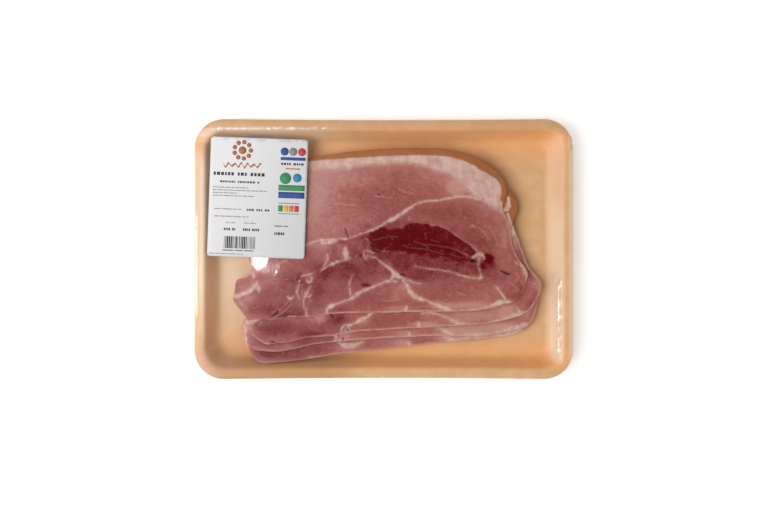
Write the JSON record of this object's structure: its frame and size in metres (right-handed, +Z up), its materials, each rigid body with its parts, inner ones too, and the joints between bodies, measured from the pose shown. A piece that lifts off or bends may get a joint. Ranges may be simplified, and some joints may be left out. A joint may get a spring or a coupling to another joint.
{
  "type": "pack of cooked ham",
  "caption": "Flat pack of overlapping cooked ham slices with rind on a moulded foam tray, overwrapped in clear stretch film with a paper label on top.",
  "frame": {"origin": "middle of the pack's underside, on the surface it rests on", "axes": "+Z up out of the tray, +X along the tray's long side, +Y towards the rind side of the slices"},
  "size_m": [0.2916, 0.2008, 0.0222],
  "materials": {
    "foam": "expanded polystyrene foam, peach, fine closed cells with a smooth skin",
    "ham": "moist cooked meat, pink to dark red muscle with pale fat seams and a brown rind",
    "film": "clear glossy stretch film, taut on top, folded and pressed flat under the tray",
    "label": null
  },
  "bodies": {
    "root": {"tray": "foam", "ham_slice_1": "ham", "ham_slice_2": "ham", "ham_slice_3": "ham", "ham_slice_4": "ham", "film": "film", "label": "label"}
  },
  "joints": []
}
